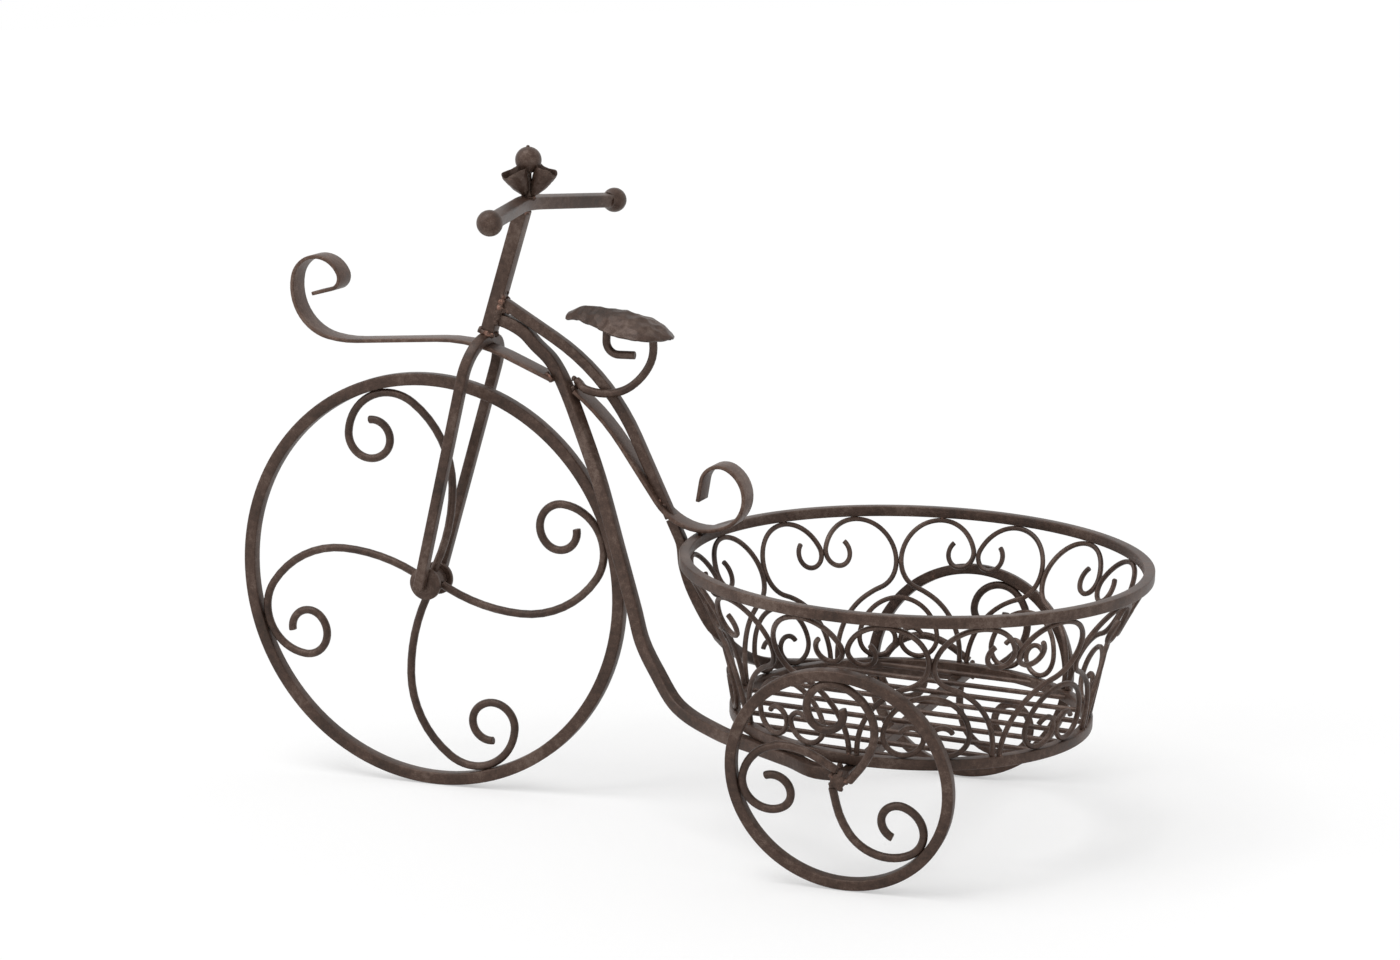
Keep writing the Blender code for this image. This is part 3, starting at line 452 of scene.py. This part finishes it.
def beaten_leaf(name, length, mouth, matrix):
    """A cup spun up from a small foot, with a wavy lip, and beaten uneven."""
    profile = ((0, 0), (0.0017, 0.0002), (mouth * 0.52, length * 0.25), (mouth * 0.76, length * 0.5),
               (mouth * 0.92, length * 0.76), (mouth, length))
    leaf = lathe(name, profile, Matrix(), steps=20)
    for vertex in leaf.data.vertices:
        around = math.atan2(vertex.co.y, vertex.co.x)
        share = vertex.co.z / length
        vertex.co.z -= 0.1 * length * share**3 * (0.5 + 0.5 * math.cos(3 * around))
    sheet = leaf.modifiers.new("Sheet", "SOLIDIFY")
    sheet.thickness = LEAF_SHEET
    sheet.offset = -1
    rounding = leaf.modifiers.new("Rounding", "SUBSURF")
    rounding.levels = rounding.render_levels = 2
    clouds = bpy.data.textures.new(name + "_blows", "CLOUDS")
    clouds.noise_scale = 0.004
    beating = leaf.modifiers.new("Beating", "DISPLACE")
    beating.texture = clouds
    beating.strength = 0.0012
    beating.mid_level = 0.6
    for modifier in ("Sheet", "Rounding", "Beating"):
        bpy.ops.object.modifier_apply(modifier=modifier)
    settle(leaf, name, matrix)
    return leaf


leaf = beaten_leaf("rear_leaf", 0.0262, 0.0094, turn(-5, 31, 0, (-0.1062, -0.0006, 0.46706)))
hand_over(leaf, hammered_iron, "frame", "finial_leaf_rear", slot="hammered_iron")
leaf = beaten_leaf("front_leaf", 0.0226, 0.0106, turn(21, -17, 0, (-0.1096, -0.0036, 0.4688)))
hand_over(leaf, hammered_iron, "frame", "finial_leaf_front", slot="hammered_iron")

# The lower bar: square bar from the stem, bent close behind the tread and on under the basket to the axle's near
# end. It is twisted a little where it turns outwards. Its stations are in millimetres from under the front hub.
LOWER_TWIST = -26
TWIST_FROM, TWIST_IN, TWIST_UNTIL, TWIST_OUT = 0.1326, 0.0273, 0.2301, 0.039
LOWER_STATIONS = (
    (66.9, 0, 373.7), (70.7, 0, 372.5), (86.6, 0, 364.9), (97.1, 0, 354.7), (109.2, 0, 343.2), (119.7, -1.5, 326.2),
    (134.2, -9.4, 299.8), (155.6, -21.1, 254.9), (172.2, -30.1, 209.2), (188.6, -39.1, 163.9), (196.1, -43.1, 141.4),
    (209.4, -50.4, 122.5), (232.4, -63, 98.9), (273, -85.1, 88.4), (308.1, -104.3, 86.8), (343.2, -123.4, 85.2),
    (373.7, -140, 83.7), (386, -140, 83.7))


def eased_path(stations, spans=7):
    """Points on an easy curve through the stations, with straight first and last runs."""
    stations = [Vector(station) / 1000 + Vector((WHEEL_CENTRE[0], 0, 0)) for station in stations]
    last = len(stations) - 1
    slopes = [(stations[1] - stations[0]).normalized()] * 2
    for before, here, after in zip(stations[1:], stations[2:-1], stations[3:]):
        slopes.append((after - before) / ((after - here).length + (here - before).length))
    slopes[last - 1 :] = [(stations[last] - stations[last - 1]).normalized()] * 2
    points = stations[:2]
    for index in range(1, last - 1):
        start, end = stations[index : index + 2]
        run = (end - start).length
        for step in range(1, spans + 1):
            share = step / spans
            points.append(start * (2 * share**3 - 3 * share**2 + 1) + end * (3 * share**2 - 2 * share**3)
                          + slopes[index] * (run * (share**3 - 2 * share**2 + share))
                          + slopes[index + 1] * (run * (share**3 - share**2)))
    return points + stations[last:]


def swept(name, points, diameter=0, bar=0, twists=None, sides=3):
    """A round rod or an eased square bar drawn along points in space, with closed ends."""
    curve = bpy.data.curves.new(name, "CURVE")
    curve.dimensions = "3D"
    spline = curve.splines.new("POLY")
    spline.points.add(len(points) - 1)
    for index, (spot, place) in enumerate(zip(spline.points, points)):
        spot.co = (*place, 1)
        spot.tilt = math.radians(twists[index]) if twists else 0
    curve.use_fill_caps = True
    if bar:
        bpy.ops.mesh.primitive_plane_add(size=bar)
        shape = bpy.context.object
        bpy.ops.object.mode_set(mode="EDIT")
        bpy.ops.mesh.bevel(offset=bar * EASING, segments=3, affect="VERTICES")
        bpy.ops.mesh.delete(type="ONLY_FACE")
        bpy.ops.object.mode_set(mode="OBJECT")
        bpy.ops.object.convert(target="CURVE")
        curve.twist_mode = "Z_UP"
        curve.bevel_mode = "OBJECT"
        curve.bevel_object = shape
    else:
        curve.bevel_depth = diameter / 2
        curve.bevel_resolution = sides
    piece = bpy.data.objects.new(name, curve)
    bpy.context.scene.collection.objects.link(piece)
    bpy.ops.object.select_all(action="DESELECT")
    piece.select_set(True)
    bpy.context.view_layer.objects.active = piece
    bpy.ops.object.convert(target="MESH")
    piece = bpy.context.object
    if bar:
        bpy.data.objects.remove(shape)
    settle(piece, name)
    ease_cuts(piece, (bar or diameter) * 0.1)
    return piece


lower_path = eased_path(LOWER_STATIONS)
twists = []
for point in lower_path:
    along = point.x - WHEEL_CENTRE[0]
    twists.append(LOWER_TWIST * max(0, min((along - TWIST_FROM) / TWIST_IN, (TWIST_UNTIL - along) / TWIST_OUT, 1)))
hand_over(swept("lower_frame_bar", lower_path, bar=HEAVY_BAR, twists=twists), iron, "frame", "lower_bar")

# The upper bar: lighter square bar arching back from the stem. It goes on below the rear strip as the basket bar,
# behind the rim and round the far side to the axle.
UPPER_START, UPPER_HEADING = (0.071 + WHEEL_CENTRE[0], 0.386141), -31.5
UPPER_BENDS = ((0.0486, 0), (0.1664, -34.3), (0.0655, 0))
upper = bent_bar("upper_frame_bar", LIGHT_BAR, LIGHT_BAR, UPPER_START, UPPER_HEADING, UPPER_BENDS, turn(90, 0, 0))
hand_over(upper, iron, "frame", "upper_bar")
BASKET_STATIONS = ((204.6, 0, 226.5), (211.2, 0, 211.8), (214.5, 0, 190), (222, 0, 169), (241.4, 0, 137.9),
                   (250.6, 60, 104), (291.5, 111.5, 91.6), (337.2, 135.4, 85.9), (373.7, 140, 83.7), (386, 140, 83.7))
hand_over(swept("basket_carrier", eased_path(BASKET_STATIONS), bar=LIGHT_BAR), iron, "frame", "basket_bar")

# The two flat strips: thin strap bent on edge rollers. One runs forward over the wheel and curls up, the other runs
# down over the rim and curls back. Their paint is paler all over, as a painted highlight on their upward flats.
STRAP_WIDTH, STRAP_THICKNESS, STRAP_EASING = 0.019, 0.003, 0.3
FRONT_START, FRONT_HEADING = (0.11259 + WHEEL_CENTRE[0], 0.32911), 156.4
FRONT_BENDS = ((0.043, 0), (0.126, 26.5), (0.0691, 0), (0.0898, -15.8), (0.0383, -90.9), (0.021, -141.4),
               (0.009, -101.3), (0.0175, 0))
REAR_START, REAR_HEADING = (0.130017 + WHEEL_CENTRE[0], 0.321592), -37.4
REAR_BENDS = ((0.1671, -18.9), (0.0496, 0), (0.0455, 79.9), (0.0246, 126.6), (0.0145, 108.7), (0.0157, 0))
# A lighter copy of the paint: painted light standing for the bright upward flats of the strips.
pale_lit_strap_iron = painted_iron("pale_lit_strap_iron", 1.2, glint=0.01)
for name, start, heading, bends in (("front", FRONT_START, FRONT_HEADING, FRONT_BENDS),
                                    ("rear", REAR_START, REAR_HEADING, REAR_BENDS)):
    strap = bent_bar(name + "_strap", STRAP_WIDTH, STRAP_THICKNESS, start, heading, bends, turn(90, 0, 0),
                     STRAP_EASING)
    hand_over(strap, pale_lit_strap_iron, "frame", name + "_strip")

# The seat: thick sheet cut to a teardrop and beaten into a dome over a hollow, so that it is covered with round
# blows. Each row has its place along the seat, half its width, the ridge's height and the fall to the edge, all
# as shares of the seat's length.
SEAT_PLACE = (0.1243 + WHEEL_CENTRE[0], 0, 0.3803)
SEAT_LENGTH, SEAT_SHEET = 0.085, 0.0019
SEAT_ROWS = ((0, 0.09, 0.016, 0.062), (0.05, 0.108, 0.05, 0.08), (0.15, 0.136, 0.07, 0.102),
             (0.35, 0.216, 0.064, 0.148), (0.55, 0.29, 0.048, 0.186), (0.75, 0.318, -0.005, 0.158),
             (0.89, 0.239, -0.0875, 0.093), (0.96, 0.125, -0.148, 0.045), (1.0, 0.034, -0.182, 0.006))


def seat_row(share):
    """Half the width, the ridge's height and the fall to the edge at this share of the seat's length."""
    for before, after in zip(SEAT_ROWS, SEAT_ROWS[1:]):
        if share <= after[0]:
            break
    part = (share - before[0]) / (after[0] - before[0])
    return [low + (high - low) * part for low, high in zip(before[1:], after[1:])]


bpy.ops.object.select_all(action="DESELECT")
bpy.ops.mesh.primitive_grid_add(x_subdivisions=26, y_subdivisions=14, size=2)
seat = bpy.context.object
for vertex in seat.data.vertices:
    share = (vertex.co.x + 1) / 2
    half, ridge, drop = seat_row(share)
    side = vertex.co.y
    vertex.co = Vector((share, side * half, ridge - drop * abs(side) ** 1.8)) * SEAT_LENGTH
rounding = seat.modifiers.new("Rounding", "SUBSURF")
rounding.levels = rounding.render_levels = 2
clouds = bpy.data.textures.new("seat_blows", "VORONOI")
clouds.noise_scale = 0.009
beating = seat.modifiers.new("Beating", "DISPLACE")
beating.texture = clouds
beating.strength = 0.0022
beating.mid_level = 0.75
sheet = seat.modifiers.new("Sheet", "SOLIDIFY")
sheet.thickness = SEAT_SHEET
sheet.offset = -1
for modifier in ("Rounding", "Beating", "Sheet"):
    bpy.ops.object.modifier_apply(modifier=modifier)
settle(seat, "beaten_seat", turn(0, 0, 0, SEAT_PLACE))
ease_cuts(seat, 0.0004)
hand_over(seat, hammered_iron, "frame", "seat", slot="hammered_iron")

# The seat's scroll: round rod from the lower bar, past the near side of the upper bar and up to the seat, with its
# end bent in a square hook under it. It steps aside of the upper bar and back again.
SEAT_ROD_START, SEAT_ROD_HEADING = (0.129242 + WHEEL_CENTRE[0], 0.328901), -34.1
ASIDE, ASIDE_FROM, ASIDE_IN, ASIDE_UNTIL, ASIDE_OUT = 0.00725, 0.001, 0.01, 0.08, 0.03
SEAT_ROD_BENDS = ((0.0453, 48.7), (0.0358, 79.6), (0.0088, 0), (0.0065, 75), (0.024, 0), (0.0065, 97), (0.0128, 0),
                  (0.0098, 94), (0.0132, 0))


def flat_path(start, heading, bends, pace=0.004):
    """Close points along bends on the flat, with no more than a step of turn between them."""
    points = [Vector((*start, 0))]
    for size, angle in bends:
        length = math.radians(abs(angle)) * size if angle else size
        steps = max(math.ceil(abs(angle) / BEND_STEP), math.ceil(length / pace))
        for _ in range(steps):
            points.append(points[-1] + heading_of(heading + angle / steps / 2) * (length / steps))
            heading += angle / steps
    return points


route = flat_path(SEAT_ROD_START, SEAT_ROD_HEADING, SEAT_ROD_BENDS)
beside_bar = []
travelled = 0
for before, point in zip(route[:1] + route, route):
    travelled += (point - before).length
    share = min(max(min((travelled - ASIDE_FROM) / ASIDE_IN, (ASIDE_UNTIL - travelled) / ASIDE_OUT), 0), 1)
    beside_bar.append(Vector((point.x, -ASIDE * share * share * (3 - 2 * share), point.y)))
hand_over(swept("seat_rod", beside_bar, diameter=SPOKE_ROD), iron, "frame", "seat_scroll")

# The axle: square bar across under the basket, with a short round stub welded on each end. The stubs don't turn:
# the rear wheels' scrolls are welded to them.
HALF_AXLE, HALF_TRACK = 0.1475, 0.1556
AXLE = (0.39 + WHEEL_CENTRE[0], 0.083654)
STUB_RADIUS, STUB_INWARD, STUB_OUTWARD, STUB_EASING = 0.0055, 0.008, 0.0035, 0.0007
SIDES = (("near", -1), ("far", 1))
axle = bent_bar("axle_bar", LIGHT_BAR, LIGHT_BAR, (-HALF_AXLE, 0), 0, ((2 * HALF_AXLE, 0),),
                turn(0, 0, 90, (AXLE[0], 0, AXLE[1])))
hand_over(axle, iron, "frame", "axle")
for name, side in SIDES:
    low, high = sorted((side * STUB_INWARD, -side * STUB_OUTWARD))
    outline = ((0, high), (STUB_RADIUS - STUB_EASING, high), (STUB_RADIUS, high - STUB_EASING),
               (STUB_RADIUS, low + STUB_EASING), (STUB_RADIUS - STUB_EASING, low), (0, low))
    stub = lathe(name + "_stub_end", outline, turn(90, 0, 0, (AXLE[0], side * HALF_TRACK, AXLE[1])))
    hand_over(stub, iron, "frame", name + "_stub")

# The rear wheels: rings of light square bar that lean outwards, each filled with three scrolls of round rod which
# are welded to the stub and to the ring.
REAR_RADIUS, REAR_LEAN = 0.0798, 8.6
SCROLL_ROD = 0.006
SCROLL_START, SCROLL_HEADING = (0.007533, -0.000106), 49.9
SCROLL_BENDS = ((0.0134, 0), (0.058017, 22.3), (0.033825, 86.7), (0.019777, 131.7), (0.013063, 175.4))
SCROLL_TURNS = {"near": (0, 98, 229), "far": (-24, 96, 216)}
scroll = bent_rod("scroll", SCROLL_ROD, SCROLL_START, SCROLL_HEADING, SCROLL_BENDS, turn(90, 0, 0))
for name, side in SIDES:
    lean = turn(-side * REAR_LEAN, 0, 0, (AXLE[0], side * HALF_TRACK, AXLE[1]))
    ring = rolled_ring(name + "_tread", REAR_RADIUS, LIGHT_BAR, lean @ turn(90, 0, 0))
    hand_over(ring, iron, "frame", name + "_wheel_ring")
    for number, angle in enumerate(SCROLL_TURNS[name]):
        piece = copy_of(scroll, f"{name}_curl_{number + 1}", lean @ turn(0, -angle, 0))
        hand_over(piece, iron, "frame", f"{name}_scroll_{number + 1}")
bpy.data.objects.remove(scroll)

# The basket's rim and floor: two rings of light square bar, and thin rods laid across the lower one and welded to
# it at both ends.
RIM_PLACE = turn(0, 2.6, 0, (0.397026 + WHEEL_CENTRE[0], 0, 0.2052))
RIM_RADIUS = 0.1696
BASE_RADIUS, BASE_DEPTH = 0.13, 0.113
BASKET_ROD, ROD_SPACING = 0.004, 0.028
hand_over(rolled_ring("rim_ring", RIM_RADIUS, LIGHT_BAR, RIM_PLACE, steps=180), iron, "frame", "basket_rim")
base_place = RIM_PLACE @ turn(0, 0, 0, (0, 0, -BASE_DEPTH))
base = rolled_ring("base_floor", BASE_RADIUS, LIGHT_BAR, base_place)
for number in range(-4, 5):
    aside = number * ROD_SPACING
    half = math.sqrt(BASE_RADIUS**2 - aside**2)
    bent_rod(f"floor_rod_{number + 5}", BASKET_ROD, (-half, aside), 0, ((2 * half, 0),), base_place)
    base.select_set(True)
    bpy.context.view_layer.objects.active = base
    bpy.ops.object.join()
hand_over(base, iron, "frame", "base_grid")

# The basket's wall: eight hearts, each of two scrolls of thin wire back to back, with an arch of wire that ends in
# two curls between each pair. They are bent flat, then wrapped round the flare and welded.
WALL_WIRES = 8
RIM_LINE, WAIST_LINE, WAIST_DEPTH = 0.17, 0.14, 0.059
WIRE_PACE = 0.003
HEART_SIZE, HEART_HEADING = 0.1021, -42.4
HEART_BENDS = ((0.098, -250.1), (0.302, -89.5), (0.246, -139.9), (0.543, 68.9), (0.664, 3.1))
HEART_CORNERS = ((0.00197, -0.1088), (0.0581, -0.0059))
ARCH_SIZE, ARCH_HEADING = 0.0442, 119.9
ARCH_BENDS = ((0.202, 174.6), (0.336, 162.2), (0.709, 83.3))
ARCH_CORNERS = ((0, -0.1069), (0.0305, -0.0625))


def flat_wire(size, heading, bends):
    """The path of a wire whose bends are shares of its size."""
    return flat_path((0, 0), heading, [(share * size, angle) for share, angle in bends], pace=WIRE_PACE)


def stretched(points, low, high):
    """The path stretched to fill the box between two corners."""
    least = [min(point[axis] for point in points) for axis in range(2)]
    most = [max(point[axis] for point in points) for axis in range(2)]
    scale = [(high[axis] - low[axis]) / (most[axis] - least[axis]) for axis in range(2)]
    return [Vector([low[axis] + (point[axis] - least[axis]) * scale[axis] for axis in range(2)]) for point in points]


def wrapped(points, centre, side):
    """A flat path of lengths round the wall and heights below the rim, bent round the basket's flare."""
    places = []
    for point in points:
        depth = -point.y
        flare = RIM_LINE - (RIM_LINE - WAIST_LINE) * depth / WAIST_DEPTH
        if depth > WAIST_DEPTH:
            below = (depth - WAIST_DEPTH) / (BASE_DEPTH - WAIST_DEPTH)
            flare = WAIST_LINE - (WAIST_LINE - BASE_RADIUS) * below
        angle = math.radians(centre) + side * point.x / flare
        places.append(RIM_PLACE @ Vector((flare * math.cos(angle), flare * math.sin(angle), point.y)))
    return places


heart = stretched(flat_wire(HEART_SIZE, HEART_HEADING, HEART_BENDS), *HEART_CORNERS)
arch = stretched(flat_wire(ARCH_SIZE, ARCH_HEADING, ARCH_BENDS), *ARCH_CORNERS)
arch += [Vector((-point.x, point.y)) for point in arch[-2::-1]]
for number in range(1, WALL_WIRES + 1):
    centre = (number - 1) * 360 / WALL_WIRES
    for name, side in (("left", -1), ("right", 1)):
        wire = swept(f"heart_wire_{number}_{name}", wrapped(heart, centre, side), BASKET_ROD, sides=2)
        hand_over(wire, iron, "frame", f"heart_{number}_{name}")
    wire = swept(f"arch_wire_{number}", wrapped(arch, centre + 180 / WALL_WIRES, 1), BASKET_ROD, sides=2)
    hand_over(wire, iron, "frame", f"arch_{number}")

# The welds: beads of melted rod left rough where two pieces meet, with copper-coloured spots painted on them as
# glints of light. Each has its place from under the front hub and its radius, in millimetres.
TIP_BEAD, STUB_BEAD, RIM_BEAD, BASE_BEAD = 0.0019, 0.0024, 0.0014, 0.0018
STUB_SEAM = 0.0058
WELDS = (
    (66, -5, 371, 2.4), (67, -5.2, 375, 2.7), (68, -5.2, 379, 2.9), (69.5, -5, 383, 3.1), (71, -4.8, 387.5, 3),
    (72, -4.4, 391.5, 2.5), (72.6, -2.6, 380.6, 2.7), (75.4, -2.4, 379.6, 2.3), (72.6, 2.6, 380.6, 2.7),
    (72, -2, 394, 2.4), (72, 2, 394, 2.4), (71, 5, 388, 2.8), (69, 5.2, 381, 2.8), (67, 5, 374, 2.6),
    (52.5, -5.4, 365, 2.4), (55.5, -5.8, 363.6, 2.7), (59, -5.8, 362.4, 2.7), (62.3, -5.2, 361.3, 2.4),
    (52.5, 5.4, 365, 2.4), (56, 5.8, 363.4, 2.7), (60, 5.8, 362, 2.6), (50.6, 0, 365.5, 2.4), (63.2, 0, 361.5, 2.4),
    (107.5, -5.6, 333.5, 2.4), (110, -6.4, 331.5, 2.2), (111.5, -8, 329.5, 1.9), (112, 5, 330.5, 2.4),
    (128.4, 0, 323, 2.6), (127.8, 3.6, 324.5, 2.2), (128, -3.6, 323, 2.2), (127.4, 0, 330, 2.4),
    (196.4, -3.6, 240.4, 2), (200.4, -3.6, 236.8, 2.2), (196.4, 3.6, 240.4, 2), (200.4, 3.6, 236.8, 2.2),
    (204.4, -3.4, 229, 2.2), (204.4, 3.4, 229, 2.2), (218.6, -3, 209.5, 2.7), (218.6, 2.6, 210, 2.7),
    (219, 0, 204.5, 2.3), (229, -4.4, 218.4, 2.2), (232.5, 3.6, 218.6, 2.2), (384.6, -137, 88, 2.4),
    (385.2, -141.4, 87.4, 2.4), (385, -144, 80.6, 2.2), (384.6, 137, 88, 2.4), (385.2, 141.4, 87.4, 2.4),
    (95.5, -3.6, 466.8, 2), (99.5, -2.4, 466.4, 2), (91, -2.6, 468.4, 2), (94.4, 3.2, 467, 2.2), (90.4, 3, 456.6, 2.2),
    (86.6, -4.6, 457.6, 2.2), (94.6, -4.8, 455.6, 2.2))
# Weld paint with the most copper spots: painted glints of light.
weld_iron = painted_iron("weld_iron", 0.85, glint=0.13)


def beads(name, spots, body):
    """Lumps of weld at places in metres, each with its radius, run together and left uneven as one piece."""
    made = []
    for place, radius in spots:
        bpy.ops.mesh.primitive_ico_sphere_add(subdivisions=3 if radius > 0.002 else 2, radius=radius, location=place)
        made.append(bpy.context.object)
    bpy.ops.object.select_all(action="DESELECT")
    for lump in made:
        lump.select_set(True)
    bpy.ops.object.join()
    piece = bpy.context.object
    bpy.ops.object.transform_apply(location=True, rotation=True, scale=True)
    fusing = piece.modifiers.new("Fused", "REMESH")
    fusing.mode = "VOXEL"
    fusing.voxel_size = 0.0005
    clouds = bpy.data.textures.new(name + "_lumps", "CLOUDS")
    clouds.noise_scale = 0.0022
    lumps = piece.modifiers.new("Lumps", "DISPLACE")
    lumps.texture = clouds
    lumps.strength = 0.0017
    lumps.mid_level = 0.6
    for modifier in ("Fused", "Lumps"):
        bpy.ops.object.modifier_apply(modifier=modifier)
    settle(piece, name)
    hand_over(piece, weld_iron, body)


def farthest(piece, centre):
    """The piece's corner that is farthest from the centre, where its end is welded."""
    return max((vertex.co for vertex in piece.data.vertices), key=lambda spot: (spot - Vector(centre)).length)


spots = [((x / 1000 + WHEEL_CENTRE[0], y / 1000, z / 1000), radius / 1000) for x, y, z, radius in WELDS]
beads("frame_welds", spots, "frame")
spots = [(farthest(bpy.data.objects[f"spoke_{number}"], WHEEL_CENTRE), TIP_BEAD) for number in range(1, 5)]
beads("tread_welds", spots, "front_wheel")
spots = []
for name, side in SIDES:
    centre = Vector((AXLE[0], side * HALF_TRACK, AXLE[1]))
    spots += [(farthest(bpy.data.objects[f"{name}_curl_{number}"], centre), TIP_BEAD) for number in range(1, 4)]
    for step in range(5):
        around = math.radians(72 * step)
        spots.append((centre + Vector((math.cos(around), side * 0.3, math.sin(around))) * STUB_SEAM, STUB_BEAD))
beads("wheel_welds", spots, "frame")
spots = []
for number in range(1, WALL_WIRES + 1):
    for name in ("left", "right"):
        places = [vertex.co for vertex in bpy.data.objects[f"heart_wire_{number}_{name}"].data.vertices]
        spots.append((max(places, key=lambda spot: spot.z), RIM_BEAD))
        spots.append((min(places, key=lambda spot: spot.z), BASE_BEAD))
beads("basket_welds", spots, "frame")
